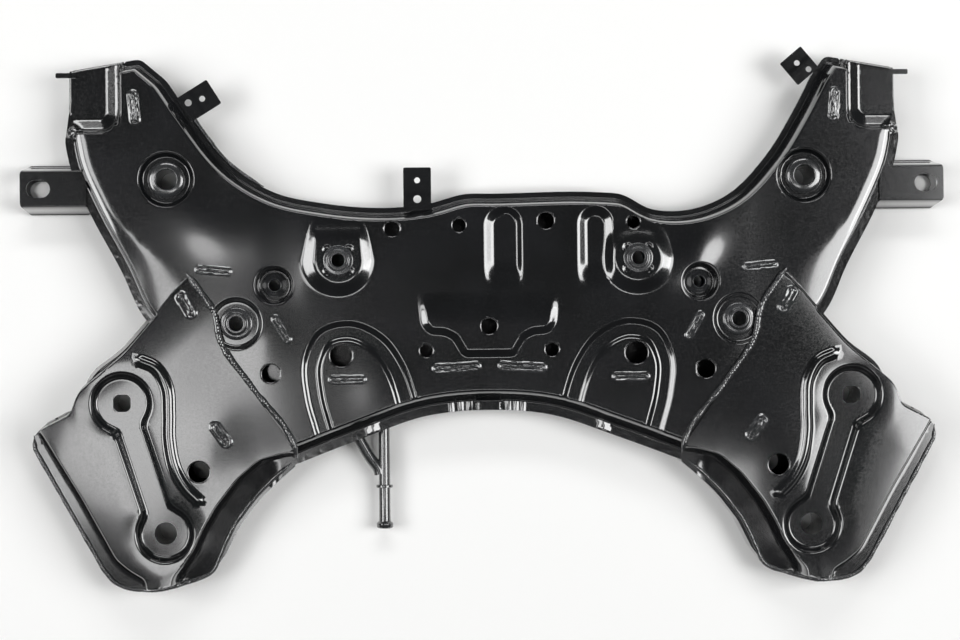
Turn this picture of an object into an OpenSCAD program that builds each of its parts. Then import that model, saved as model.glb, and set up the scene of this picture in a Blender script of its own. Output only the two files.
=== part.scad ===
// Front subframe of a small car: a pressed steel box with horns, wings, brackets and weld nuts.
// Millimetres. X runs across the car, Y along it, Z up from the surface that it rests on.

/* [Sheet metal] */
// Thickness of the two shells of the main member
shell_t = 2.5; // [1.5:0.1:4]
// Thickness of the wing plates and pans
wing_t = 3; // [2:0.1:4.5]
// Thickness of the brackets
bracket_t = 3; // [2:0.1:4.5]
// Width of the spot-welded flange round the main member
flange_w = 8; // [5:0.5:12]

/* [Heights] */
// Height of the main member, from floor to top
box_h = 62; // [50:1:80]
// Height of the seam between the upper and lower halves
seam_h = 30; // [22:1:36]
// Drop of the horn seat below the top of the main member
seat_drop = 18; // [12:0.5:22]

/* [Horns] */
// Horn bolt, across from the middle
horn_x = 320; // [310:1:330]
// Horn bolt, along from the middle
horn_y = 140; // [130:1:150]
// Bore of the horn sleeve
horn_bore = 20.6; // [14:0.1:24]
// Outer diameter of the horn sleeve
horn_sleeve_d = 30; // [27:0.5:34]
// Diameter of the horn sleeve's collar
horn_collar_d = 37; // [36:0.5:42]
// Diameter of the horn dish
horn_dish_d = 55; // [50:1:60]
// Depth of the horn dish
horn_dish_depth = 7; // [4:0.5:10]
// Length of the horn seat, along
seat_len = 52; // [40:1:60]
// Width of the horn seat, across
seat_w = 44; // [36:1:50]
// Reach of the small tab at the horn tip
tip_tab = 9; // [4:0.5:14]

/* [Middle] */
// Rack bolt, across from the middle
rack_x = 150; // [140:1:158]
// Rack bolt, along from the middle
rack_y = 58; // [54:1:62]
// Bore of the rack nut
rack_bore = 13; // [8:0.1:16]
// Diameter of the rack nut's foot
rack_nut_d = 30; // [24:0.5:34]
// Rise of the rack bosses above the shell
rack_rise = 4; // [2:0.5:8]
// Diameter of the rack bosses
rack_boss_d = 72; // [60:1:76]
// Rise of the middle pad above the shell
middle_rise = 3; // [1.5:0.5:6]
// Small well, across from the middle
well_x = 214; // [208:1:218]
// Small well, along from the middle
well_y = 34; // [30:1:38]
// Diameter of the small well
well_d = 37; // [34:0.5:40]
// Depth of the small well
well_depth = 20; // [12:1:24]
// Height of the rack nut
rack_nut_h = 4; // [3:0.5:8]
// Bore of the well nut
well_bore = 11.8; // [8:0.1:14]
// Diameter of the well nut
well_nut_d = 22; // [18:0.5:26]
// Control arm bolt, across from the middle
arm_x = 252; // [246:1:256]
// Control arm bolt, along from the middle
arm_y = -4; // [-8:1:2]
// Diameter of the shallow dish round the control arm bolt
arm_dish_d = 48; // [44:1:50]
// Depth of that dish
arm_dish_depth = 4; // [2:0.5:7]
// Bore of the control arm sleeve
arm_bore = 14.4; // [10:0.1:17]
// Outer diameter of the control arm sleeve
arm_sleeve_d = 23; // [20:0.5:26]
// Diameter of the control arm sleeve's collar
arm_collar_d = 33; // [29:0.5:38]
// Depth of the pressed grooves
groove_depth = 6; // [3:0.5:9]
// Width of the arched grooves
groove_w = 13; // [9:0.5:16]

/* [Wings] */
// Front wing bolt, across from the middle
front_x = 366; // [360:1:370]
// Front wing bolt, along from the middle
front_y = -82; // [-88:1:-76]
// Bore of the front sleeve
front_bore = 19; // [14:0.1:22]
// Rear wing bolt, across from the middle
rear_x = 324; // [318:1:328]
// Rear wing bolt, along from the middle
rear_y = -212; // [-218:1:-206]
// Bore of the rear sleeve
rear_bore = 22; // [16:0.1:24]
// Outer diameter of the spacer sleeves in the wings
wing_sleeve_d = 34; // [30:0.5:38]
// Diameter of the front pad of the wing recess
front_pad_d = 58; // [50:1:62]
// Diameter of the rear pad of the wing recess
rear_pad_d = 54; // [48:1:58]
// Width of the channel between the two pads
pad_channel_w = 30; // [22:1:36]
// Depth of the wing recess
pad_depth = 7; // [4:0.5:10]
// Width of the curved bead on the wing
bead_w = 10; // [6:0.5:13]
// Height of the curved bead on the wing
bead_h = 3; // [1.5:0.5:5]

/* [Brackets] */
// Length of the side brackets, from their root under the horn
side_len = 78; // [66:1:90]
// Middle of the side brackets, along from the middle
side_y = 133; // [128:1:138]
// Width of the side brackets
side_w = 50; // [42:1:56]
// Depth of the side brackets
side_h = 32; // [26:1:32]
// Length of the bolt slot in the side brackets
side_slot_l = 24; // [18:0.5:28]
// Width of the bolt slot in the side brackets
side_slot_w = 18; // [10:0.5:20]
// Thickness of the small clip brackets
clip_t = 2; // [1.5:0.1:3]
// Hole in the clip brackets
clip_hole = 6; // [4:0.1:8]
// Width of the clip brackets
clip_w = 28; // [22:1:32]

/* [Hanger] */
// Diameter of the hanger rod
rod_d = 11.5; // [9:0.5:13]
// Diameter of the rod's collar and mushroom end
rod_head_d = 17; // [15:0.5:20]
// Height of the rod's axis
rod_z = 15; // [10:0.5:18]
// End of the rod, along from the middle
rod_end_y = -214; // [-230:1:-200]

/* [Welds] */
// Width of the weld beads
weld_w = 5; // [3:0.5:7]
// Height of the plug welds
plug_h = 2; // [1:0.25:3]

/* [Hidden] */
$fn = 48;

paint = "#161718";
bright = "#2a2b2d";
steps = 5;
fit_gap = 0.2;
weld_gap = 0.1;
over = 1;
wing_top = box_h + wing_t;
flange_top = seam_h + shell_t;
seat_z = box_h - seat_drop;
seat_base = seat_z - bracket_t;

// Edges of the main member, through points along the pressing. The top edge isn't symmetric.
top_edge = [[333, 243], [313, 205], [285, 161], [244, 121], [205, 107], [168, 108],
    [135, 124], [116, 125.5], [4, 125], [-20, 125], [-60, 115], [-168, 117], [-212, 127],
    [-256, 154], [-296, 204], [-323, 238]];
horn_tip = [[-348, 260], [-418, 251], [-418, 216]];
horn_side = [[-423, 180], [-418, 155], [-399, 109], [-368, 50], [-345, 2], [-322, -22],
    [-290, -62], [-250, -112], [-212, -144]];
arch_edge = [[-196, -147], [-130, -122], [-61, -99], [0, -94], [61, -99], [130, -122], [196, -147]];

// Edges of the left wing, from its upper tip round the outside to the arch and the lap on the shell.
wing_notch = [[-304, 46], [-344, 0], [-369, -28], [-400, -54], [-412, -86]];
wing_shoulder = [[-446, -104], [-456, -114], [-455, -128]];
wing_toe = [[-388, -250], [-376, -263], [-340, -270.5], [-308, -264], [-280, -253], [-267, -237]];
wing_arch = [[-253, -209], [-231, -181], [-209, -160], [-196, -149]];
wing_lap = [[-197, -127], [-240, -66], [-270, -20], [-276, 8], [-292, 32]];

// Edges of the raised middle of the left wing plate, inside its flange: outer bend, toe and arch side.
crown_bend = [[-408, -86], [-442, -112], [-402, -179], [-368, -238]];
crown_toe = [[-352, -255], [-335, -264], [-318, -260], [-305, -248]];
crown_arch = [[-294, -231], [-272, -188], [-250, -160], [-229, -143], [-206, -134]];

// Middle lines of the pressed grooves on the left half, and of the wing's bead.
arch_groove = [[-167, -108], [-178, -76], [-178, -40], [-164, -18], [-140, -12], [-112, -26],
    [-95, -50], [-86, -74]];
wing_bead = [[-352, -37], [-333, -46], [-320, -68], [-319, -118], [-312, -151], [-287, -184]];

// The two troughs beside the rack: across, then their middle, length and width.
rib_channels = [15, 100];
rib_y = 68;
rib_l = 82;
rib_w = 24;

// The land that joins the left rack boss to the front edge, and the bar and leg of the middle pad.
rack_land = 52;
rack_land_l = 42;
pad_bar = [134, 30];
pad_bar_y = -12;
pad_leg = [60, 28];
pad_leg_y = -36;

// Tooling holes of the upper shell: across, along, diameter.
tool_holes = [[-96, 89, 15], [-29, 92, 13.5], [58, 96, 16.5], [146, 94, 13], [0, -9, 16],
    [-63, -33, 13], [63, -33, 13.5], [-218, -54, 18], [218, -54, 18.5], [-148, -37, 22],
    [148, -37, 22.5]];
wing_hole = [290, -151, 21];

// Plug welds of the left half: across, along, length, width, turn.
plugs = [[-351, 212, 36, 12, 95], [-274, 49, 38, 10, -5], [-207, -10, 33, 10, -60],
    [-142, -61, 39, 10, 0], [-33, -50, 50, 11, 3]];
wing_plugs = [[-301, 15, 32, 14, -60], [-268, -114, 32, 14, -55]];

// The hanger: where its bars start inside the wall, the stay's foot and the rod's two heads.
rod_x = -106;
rod_root_y = -90;
rod_collar_y = -170;
rod_collar_l = 2.5;
rod_head_l = 6;
stay_root = [-140, -106];
stay_end_y = -166;
flange_clip_w = 26;
rack_nut_step = 9;
notch_flange = 2.5;
clip_margin = 0.5;

// Side brackets: root under the horn, across from the middle, and metal left beyond the slot.
side_root = 390;
side_slot_margin = 6;

// Clip brackets: foot, turn, length and place of the hole from the foot.
left_clip = [[-304, 211], -58, 36, 22];
right_clip = [[330, 242], 40, 28.72, 21];
centre_clip = [[-70, 109], 0, 43, 30];

// Smooth line through points: at each point the slope is set by its two neighbours' distances.
function slope(a, b, c) =
    let(d1 = norm(b - a), d2 = norm(c - b)) (b - a) / d1 - (c - a) / (d1 + d2) + (c - b) / d2;
function unit(v) = v / norm(v);
function end_slope(p, i) =
    i == 0 ? unit(p[1] - p[0]) : i == len(p) - 1 ? unit(p[i] - p[i - 1]) : slope(p[i - 1], p[i], p[i + 1]);
function between(a, b, sa, sb, t) =
    let(d = norm(b - a), t2 = t * t, t3 = t2 * t)
    a * (2 * t3 - 3 * t2 + 1) + sa * d * (t3 - 2 * t2 + t) + b * (3 * t2 - 2 * t3) + sb * d * (t3 - t2);
function smooth(p) = concat(
    [for (i = [0 : len(p) - 2], j = [0 : steps - 1])
        between(p[i], p[i + 1], end_slope(p, i), end_slope(p, i + 1), j / steps)],
    [p[len(p) - 1]]);
function flip(p) = [for (i = [len(p) - 1 : -1 : 0]) [-p[i][0], p[i][1]]];

// Line moved sideways to its left, with mitred corners.
function left_of(v) = unit([-v[1], v[0]]);
function mitre(a, b, c, d) =
    let(n1 = left_of(b - a), n2 = left_of(c - b)) b + (n1 + n2) * d / (1 + n1 * n2);
function inset(p, d) = let(n = len(p))
    [for (i = [0 : n - 1]) mitre(p[(i + n - 1) % n], p[i], p[(i + 1) % n], d)];
function shifted(p, d) = let(n = len(p)) [for (i = [0 : n - 1])
    i == 0 ? p[0] + left_of(p[1] - p[0]) * d
    : i == n - 1 ? p[i] + left_of(p[i] - p[i - 1]) * d
    : mitre(p[i - 1], p[i], p[i + 1], d)];
function stretched(p, d) = let(n = len(p)) [for (i = [0 : n - 1])
    i == 0 ? p[0] - unit(p[1] - p[0]) * d
    : i == n - 1 ? p[i] + unit(p[i] - p[i - 1]) * d
    : p[i]];
function reversed(p) = [for (i = [len(p) - 1 : -1 : 0]) p[i]];
function band(p, from, to) = concat(shifted(p, from), reversed(shifted(p, to)));

left_flank = concat(horn_tip, smooth(horn_side));
main_outline = concat(smooth(top_edge), left_flank, smooth(arch_edge), flip(left_flank));
wing_rim = concat(smooth(wing_notch), wing_shoulder, smooth(wing_toe), smooth(wing_arch));
wing_outline = concat(wing_rim, smooth(wing_lap));
crown_notch = shifted(smooth(wing_notch), notch_flange);
wing_crown = concat([for (i = [0 : len(crown_notch) - 2]) crown_notch[i]], crown_bend, smooth(crown_toe),
    smooth(crown_arch), smooth(wing_lap));

// A prism between two heights.
module prism(z0, z1) {
    translate([0, 0, z0]) linear_extrude(z1 - z0) children();
}

module main_prism(z0, z1, d) {
    prism(z0, z1) polygon(inset(main_outline, d));
}

module at_both(x, y) {
    for (s = [-1, 1]) translate([s * x, y, 0]) children();
}

module slot(l, w) {
    square([l - w, w], center = true);
    for (s = [-1, 1]) translate([s * (l - w) / 2, 0]) circle(d = w);
}

// The raised pads of the upper shell, drawn in plan and wider by grow all round.
module rack_bosses(grow) {
    at_both(rack_x, rack_y) circle(d = rack_boss_d + 2 * grow);
    translate([-rack_x - rack_land / 2 - grow, rack_y])
        square([rack_land + 2 * grow, rack_land_l + grow]);
}

module middle_pad(grow) {
    translate([-pad_bar[0] / 2 - grow, pad_bar_y - grow]) square(pad_bar + 2 * [grow, grow]);
    translate([-pad_leg[0] / 2 - grow, pad_leg_y - grow]) square(pad_leg + 2 * [grow, grow]);
}

module raised_pads(grow, z0, z1) {
    prism(z0, z1 + rack_rise) rack_bosses(grow);
    prism(z0, z1 + middle_rise) middle_pad(grow);
}

// The recesses of the upper shell, wider by grow all round.
module rib_channel(grow) {
    translate([0, rib_y]) rotate(90) slot(rib_l + 2 * grow, rib_w + 2 * grow);
}

module recesses(grow, z0, z1) {
    prism(z0 - horn_dish_depth, z1) at_both(horn_x, horn_y) circle(d = horn_dish_d + 2 * grow);
    prism(z0 - well_depth, z1) at_both(well_x, well_y) circle(d = well_d + 2 * grow);
    prism(z0 - arm_dish_depth, z1) at_both(arm_x, arm_y) circle(d = arm_dish_d + 2 * grow);
    for (x = rib_channels) prism(z0 - groove_depth, z1) translate([x, 0]) rib_channel(grow);
    half_groove = groove_w / 2 + grow;
    for (p = [smooth(arch_groove), flip(smooth(arch_groove))])
        prism(z0 - groove_depth, z1) polygon(band(stretched(p, grow), half_groove, -half_groove));
}

// Corner of the left horn that the seat takes up.
module seat_corner(z0, z1) {
    tip = horn_tip[1];
    translate([tip[0] - over, tip[1] - seat_len, z0]) cube([seat_w + over, seat_len + 20, z1 - z0]);
}

module both_sides() {
    children();
    mirror([1, 0, 0]) children();
}

module upper_shell() {
    color(paint) difference() {
        union() {
            main_prism(seam_h, flange_top, 0);
            main_prism(seam_h, box_h, flange_w);
            raised_pads(0, box_h - shell_t, box_h);
        }
        raised_pads(-shell_t, box_h - shell_t - over, box_h - shell_t);
        difference() {
            main_prism(seam_h - over, box_h - shell_t, flange_w + shell_t);
            recesses(shell_t, box_h - shell_t, box_h);
        }
        recesses(0, box_h, box_h + over);
        prism(0, box_h + over) at_both(horn_x, horn_y) circle(d = horn_sleeve_d + 2 * fit_gap);
        prism(0, box_h + over) at_both(well_x, well_y) circle(d = well_nut_d + 2 * fit_gap);
        prism(0, box_h + over) at_both(arm_x, arm_y) circle(d = arm_sleeve_d + 2 * fit_gap);
        prism(0, box_h + rack_rise + over) at_both(rack_x, rack_y) circle(d = rack_bore + 2);
        for (h = tool_holes) prism(0, box_h + middle_rise + over) translate([h[0], h[1]]) circle(d = h[2]);
        both_sides() seat_corner(seat_base, box_h + over);
    }
}

module lower_shell() {
    color(paint) difference() {
        union() {
            main_prism(seam_h - shell_t, seam_h, 0);
            main_prism(0, seam_h, flange_w);
        }
        main_prism(shell_t, seam_h + over, flange_w + shell_t);
        prism(-over, seam_h) at_both(horn_x, horn_y) circle(d = horn_bore);
        prism(-over, seam_h) at_both(arm_x, arm_y) circle(d = arm_bore);
        prism(-over, seam_h) at_both(rack_x, rack_y) circle(d = rack_bore + 12);
        prism(-over, seam_h) at_both(well_x, well_y) circle(d = well_bore + 6);
    }
}

// Plan of the recess that joins the two bolt pads of the left wing.
module wing_recess(grow) {
    front = [-front_x, front_y];
    rear = [-rear_x, rear_y];
    reach = rear - front;
    translate(front) circle(d = front_pad_d + 2 * grow);
    translate(rear) circle(d = rear_pad_d + 2 * grow);
    translate(front) rotate(atan2(reach[1], reach[0]))
        translate([0, -pad_channel_w / 2 - grow]) square([norm(reach), pad_channel_w + 2 * grow]);
}

module wing_holes(z0, z1, front_d, rear_d) {
    translate([-front_x, front_y, z0]) cylinder(d = front_d, h = z1 - z0);
    translate([-rear_x, rear_y, z0]) cylinder(d = rear_d, h = z1 - z0);
}

module wing_plate() {
    color(paint) difference() {
        union() {
            difference() {
                union() {
                    prism(seam_h, seam_h + wing_t) polygon(wing_outline);
                    prism(seam_h, wing_top) polygon(wing_crown);
                }
                difference() {
                    prism(seam_h - over, wing_top - wing_t) polygon(inset(wing_crown, wing_t));
                    prism(wing_top - pad_depth - wing_t, wing_top) wing_recess(wing_t);
                }
                main_prism(seam_h - over, box_h, -fit_gap);
            }
            prism(wing_top - over, wing_top + bead_h)
                polygon(band(smooth(wing_bead), bead_w / 2, -bead_w / 2));
        }
        prism(wing_top - pad_depth, wing_top + over) wing_recess(0);
        wing_holes(0, wing_top, front_bore, rear_bore);
        translate([-wing_hole[0], wing_hole[1], 0]) cylinder(d = wing_hole[2], h = wing_top + over);
    }
}

module wing_pan() {
    color(paint) difference() {
        prism(0, seam_h) polygon(wing_outline);
        prism(wing_t, seam_h + over) polygon(inset(wing_outline, wing_t));
        main_prism(-over, seam_h + over, -fit_gap);
        wing_holes(-over, seam_h, front_bore, rear_bore);
        translate([-wing_hole[0], wing_hole[1], -over]) cylinder(d = wing_hole[2], h = seam_h);
    }
}

// The stepped seat at the left horn tip, with its upright walls, front lip and tab.
module horn_bracket() {
    tip = horn_tip[1];
    color(paint) {
        difference() {
            intersection() {
                main_prism(seat_base, box_h, 0);
                seat_corner(seat_base, box_h);
            }
            translate([tip[0] - 2 * over, tip[1] - seat_len + bracket_t, seat_z])
                cube([seat_w - bracket_t + 2 * over, seat_len + 30, seat_drop + over]);
        }
        translate([tip[0] - tip_tab, tip[1] - 6, seat_base]) cube([tip_tab + 6, 4, bracket_t]);
    }
}

module side_bracket() {
    end_x = -side_root - side_len;
    web_z = flange_top + bracket_t;
    slot_x = end_x + side_slot_l / 2 + side_slot_margin;
    color(paint) difference() {
        prism(web_z - side_h, web_z) translate([end_x, side_y - side_w / 2]) square([side_len, side_w]);
        translate([end_x - over, side_y - side_w / 2 + bracket_t, web_z - side_h + bracket_t])
            cube([side_len + 2 * over, side_w - 2 * bracket_t, side_h - 2 * bracket_t]);
        main_prism(-over, flange_top, -fit_gap);
        main_prism(-over, web_z + over, flange_w - fit_gap);
        prism(-over, web_z + over) translate([slot_x, side_y]) slot(side_slot_l, side_slot_w);
    }
}

// A small tab that lies on the flange, with its foot at its place and its hole further along.
module clip_bracket(clip) {
    color(paint) translate([clip[0][0], clip[0][1], flange_top]) rotate(clip[1]) difference() {
        translate([-clip_w / 2, 0, 0]) cube([clip_w, clip[2], clip_t]);
        translate([0, clip[3], -over]) cylinder(d = clip_hole, h = clip_t + 2 * over);
    }
}

module horn_sleeve() {
    dish_z = box_h - horn_dish_depth;
    color(bright) translate([-horn_x, horn_y, 0]) difference() {
        union() {
            translate([0, 0, shell_t]) cylinder(d = horn_sleeve_d, h = box_h - 2 - shell_t);
            translate([0, 0, dish_z]) cylinder(d = horn_collar_d, h = horn_dish_depth - 2);
        }
        translate([0, 0, -over]) cylinder(d = horn_bore, h = box_h + over);
    }
}

module rack_nut() {
    color(bright) translate([-rack_x, rack_y, box_h + rack_rise]) difference() {
        union() {
            cylinder(d = rack_nut_d, h = rack_nut_h / 2);
            cylinder(d = rack_nut_d - rack_nut_step, h = rack_nut_h);
        }
        translate([0, 0, -over]) cylinder(d = rack_bore, h = rack_nut_h + 2 * over);
    }
}

module well_nut() {
    color(bright) translate([-well_x, well_y, box_h - well_depth - shell_t]) difference() {
        union() {
            cylinder(d = well_nut_d, h = 9);
            translate([0, 0, shell_t]) cylinder(d = well_nut_d + 4, h = 2);
        }
        translate([0, 0, -over]) cylinder(d = well_bore, h = 12);
    }
}

module arm_sleeve() {
    dish_z = box_h - arm_dish_depth;
    color(bright) translate([-arm_x, arm_y, 0]) difference() {
        union() {
            translate([0, 0, shell_t]) cylinder(d = arm_sleeve_d, h = box_h + 1 - shell_t);
            translate([0, 0, dish_z]) cylinder(d = arm_collar_d, h = 2.5);
        }
        translate([0, 0, -over]) cylinder(d = arm_bore, h = box_h + 3);
    }
}

module wing_sleeve(x, y, bore) {
    pad_base = wing_top - pad_depth - wing_t;
    color(bright) translate([x, y, wing_t]) difference() {
        cylinder(d = wing_sleeve_d, h = pad_base - wing_t);
        translate([0, 0, -over]) cylinder(d = bore, h = box_h);
    }
}

// A round bar in the level of the hanger, between two points of the plan.
module level_bar(from, to, d) {
    run = to - from;
    translate([from[0], from[1], rod_z]) rotate([0, 90, atan2(run[1], run[0])])
        cylinder(d = d, h = norm(run));
}

// The lower shell's outer wall, with a little room for what is welded to it.
module shell_wall() {
    main_prism(-over, seam_h, flange_w - weld_gap);
}

module hanger_rod() {
    collar = [rod_x, rod_collar_y];
    color(bright) difference() {
        union() {
            level_bar([rod_x, rod_root_y], [rod_x, rod_end_y], rod_d);
            level_bar(collar, collar - [0, rod_collar_l], rod_head_d);
            level_bar([rod_x, rod_end_y + rod_head_l], [rod_x, rod_end_y], rod_head_d);
        }
        shell_wall();
    }
}

module hanger_stay() {
    color(bright) difference() {
        level_bar(stay_root, [rod_x, stay_end_y], rod_d);
        level_bar([rod_x, rod_root_y], [rod_x, rod_end_y], rod_d + 2 * weld_gap);
        shell_wall();
    }
}

module flange_clip() {
    color(paint) translate([-flange_clip_w / 2, arch_edge[3][1] + clip_margin, flange_top])
        cube([flange_clip_w, flange_w - 2 * clip_margin, bracket_t]);
}

module seam_weld() {
    lap = smooth(concat([wing_arch[3] + [4, 14]], wing_lap, [wing_notch[0] + [4, -4]]));
    color(paint) prism(box_h, wing_top) polygon(band(lap, -0.2, -weld_w));
}

module edge_weld() {
    edge = concat([wing_notch[4]], wing_shoulder, smooth(wing_toe));
    color(paint) prism(seam_h - weld_w / 2, seam_h + weld_w / 2) polygon(band(edge, -0.1, -weld_w / 2));
}

module plug_welds() {
    color(paint) both_sides() {
        for (p = plugs)
            prism(box_h, box_h + plug_h) translate([p[0], p[1]]) rotate(p[4]) slot(p[2], p[3]);
        for (p = wing_plugs)
            prism(wing_top, wing_top + plug_h) translate([p[0], p[1]]) rotate(p[4]) slot(p[2], p[3]);
    }
}

module other_side() {
    mirror([1, 0, 0]) children();
}

upper_shell();
lower_shell();
wing_plate();  // left_wing_plate
other_side() wing_plate();  // right_wing_plate
wing_pan();  // left_wing_pan
other_side() wing_pan();  // right_wing_pan
horn_bracket();  // left_horn_bracket
other_side() horn_bracket();  // right_horn_bracket
side_bracket();  // left_side_bracket
other_side() side_bracket();  // right_side_bracket
clip_bracket(left_clip);  // left_clip_bracket
clip_bracket(right_clip);  // right_clip_bracket
clip_bracket(centre_clip);  // centre_clip_bracket
horn_sleeve();  // left_horn_sleeve
other_side() horn_sleeve();  // right_horn_sleeve
rack_nut();  // left_rack_nut
other_side() rack_nut();  // right_rack_nut
well_nut();  // left_well_nut
other_side() well_nut();  // right_well_nut
arm_sleeve();  // left_arm_sleeve
other_side() arm_sleeve();  // right_arm_sleeve
wing_sleeve(-front_x, front_y, front_bore);  // left_front_sleeve
wing_sleeve(front_x, front_y, front_bore);  // right_front_sleeve
wing_sleeve(-rear_x, rear_y, rear_bore);  // left_rear_sleeve
wing_sleeve(rear_x, rear_y, rear_bore);  // right_rear_sleeve
hanger_rod();
hanger_stay();
flange_clip();
seam_weld();  // left_seam_weld
other_side() seam_weld();  // right_seam_weld
edge_weld();  // left_edge_weld
other_side() edge_weld();  // right_edge_weld
plug_welds();
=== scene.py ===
"""Looks of a car's front subframe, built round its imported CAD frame.

Plans are in millimetres in the frame's own axes: X across the car, Y along it, Z up.
A pressing is a height over its plan, so dishes, beads, troughs and walls are all terms of one height.
"""

import math

import bpy
import numpy as np
from mathutils import Matrix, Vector
from mathutils.geometry import delaunay_2d_cdt


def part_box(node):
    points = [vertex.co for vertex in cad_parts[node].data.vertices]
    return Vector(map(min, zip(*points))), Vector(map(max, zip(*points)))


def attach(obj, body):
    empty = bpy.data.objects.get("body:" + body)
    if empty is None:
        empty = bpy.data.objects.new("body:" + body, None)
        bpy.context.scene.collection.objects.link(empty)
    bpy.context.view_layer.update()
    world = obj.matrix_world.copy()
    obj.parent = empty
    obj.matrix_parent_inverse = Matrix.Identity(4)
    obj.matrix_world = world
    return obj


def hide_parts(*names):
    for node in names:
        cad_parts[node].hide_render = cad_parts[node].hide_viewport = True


bl_info = {
    "name": "Front subframe",
    "version": (1, 0, 0),
    "blender": (4, 5, 0),
    "location": "3D View > Sidebar > Subframe",
    "description": "Pressed shells, brackets, nuts and welds of a front subframe in black dip paint",
    "category": "Add Mesh",
}

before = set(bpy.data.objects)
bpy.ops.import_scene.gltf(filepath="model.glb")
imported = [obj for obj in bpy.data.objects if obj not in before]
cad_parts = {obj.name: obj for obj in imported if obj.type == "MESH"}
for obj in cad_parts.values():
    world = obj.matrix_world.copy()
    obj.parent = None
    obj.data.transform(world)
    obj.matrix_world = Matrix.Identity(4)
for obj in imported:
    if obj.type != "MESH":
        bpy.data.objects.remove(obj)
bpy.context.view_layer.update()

MM = 0.001
BODY = "root"
# Step along the edges of the plans, and how many points are measured at once.
STEP = 2.4
CHUNK = 4000

# Heights of the flanges of shell and wings, from the CAD part.
SHELL_FLANGE = 32.5
WING_FLANGE = 33.0

# Flange and drafted wall of the upper shell: width of the lip, run of the wall, share of its bends.
LIP, WALL_RUN, BEND = 5, 9.5, 0.42
# What the arch, and then the outer sides of the horns, add to lip and run.
ARCH_LIP, ARCH_RUN = 4.5, 2
HORN_LIP, HORN_RUN = 4, -3
# End walls of the wing plates at notch and toe: run, share of the bends.
END_RUN, END_BEND = 3.4, 0.35
# Rolled rim of a tooling hole: run and drop.
ROLL_RUN, ROLL_DROP = 1.2, 0.4

# Edges of the main member and of the left wing, through points along the pressing.
TOP_EDGE = [(333, 243), (313, 205), (285, 161), (244, 121), (205, 107), (168, 108), (135, 124),
            (116, 125.5), (4, 125), (-20, 125), (-60, 115), (-168, 117), (-212, 127), (-256, 154), (-296, 204),
            (-321, 241)]
HORN_TIP = [(-347, 263), (-418, 251), (-418, 216)]
HORN_SIDE = [(-423, 180), (-418, 155), (-399, 109), (-368, 50), (-345, 2), (-322, -22), (-290, -62),
             (-250, -112), (-212, -144)]
ARCH_EDGE = [(-196, -147), (-130, -122), (-61, -99), (0, -94), (61, -99), (130, -122), (196, -147)]
WING_NOTCH = [(-302, 44), (-340, -2), (-365, -30), (-395, -55), (-410, -69), (-419, -90)]
WING_SHOULDER = [(-446, -104), (-456, -114), (-455, -128)]
WING_TOE = [(-388, -250), (-376, -263), (-340, -270.5), (-308, -264), (-280, -253), (-267, -237)]
WING_ARCH = [(-253, -209), (-231, -181), (-209, -160), (-196, -149)]
WING_LAP = [(-197, -127), (-240, -66), (-270, -20), (-276, 8), (-292, 32)]

# Raised middle of the left wing plate: past its notch, then its outer bend, toe and arch side, then past the lap.
CROWN = [(-320, 70), (-362, 20), (-390, -10), (-415, -35), (-440, -60), (-458, -84), (-444, -108), (-404, -175),
         (-371, -236), (-358, -247), (-343, -256), (-338, -280), (-321, -280), (-318, -255), (-308, -244),
         (-297, -228), (-287, -207), (-274, -185), (-252, -157), (-231, -139), (-205, -132), (-130, -130),
         (-200, 40), (-270, 90)]
WING_BEAD = [(-346, -40), (-333, -46), (-321, -66), (-319, -92), (-319, -118), (-312, -151), (-301, -169),
             (-292, -178)]
ARCH_GROOVE = [(-162, -126), (-167, -108), (-175, -76), (-176, -42), (-164, -19), (-140, -13), (-112, -26),
               (-95, -50), (-86, -74), (-82, -90)]
MIDDLE_PAD = [(-68, 26), (-64, -6), (-58, -13), (-44, -14), (-34, -19), (-28, -29), (-24, -36)]

# Bolt places: across, along; the tooling hole of the wing also has its radius.
HORN = (320, 140)
RACK = (150, 58)
WELL = (214, 34)
ARM = (252, -4)
FRONT = (-366, -82)
REAR = (-324, -212)
WING_HOLE = (-290, -151, 10.5)

# Round dishes of the upper shell: place, radius, run of the flank, depth.
DISHES = [(HORN, 28.5, 6, 7), (WELL, 20, 5, 20), (ARM, 27, 6, 4)]

# Bolt holes of the upper shell: place, radius, radii of the rows of points round it.
BORES = [(HORN, 15.4, np.r_[16.5, 19, 21.5:29, 30, 33]), (WELL, 11.4, np.r_[13, 14.4, 15.2, 16:21, 21.5, 24]),
         (ARM, 11.9, np.r_[13, 16, 19, 21:28, 28.5, 31]), (RACK, 7.6, np.r_[9, 11:20:1.5, 20:23, 24:41:2, 43])]

# Rack bosses: radius of the foot, radius of the flat.
BOSS_FOOT, BOSS_FLAT = 38, 20.5

# Recess of the wing plates: radii of the front and rear pads, half width of their joint, run of the flank.
FRONT_PAD, REAR_PAD, PAD_JOINT, PAD_RUN = 32, 30.5, 17.5, 8.5
# Its bolt holes: half width of the square front one, radius of the round rear one.
FRONT_HOLE, REAR_HOLE = 8.6, 11

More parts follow.
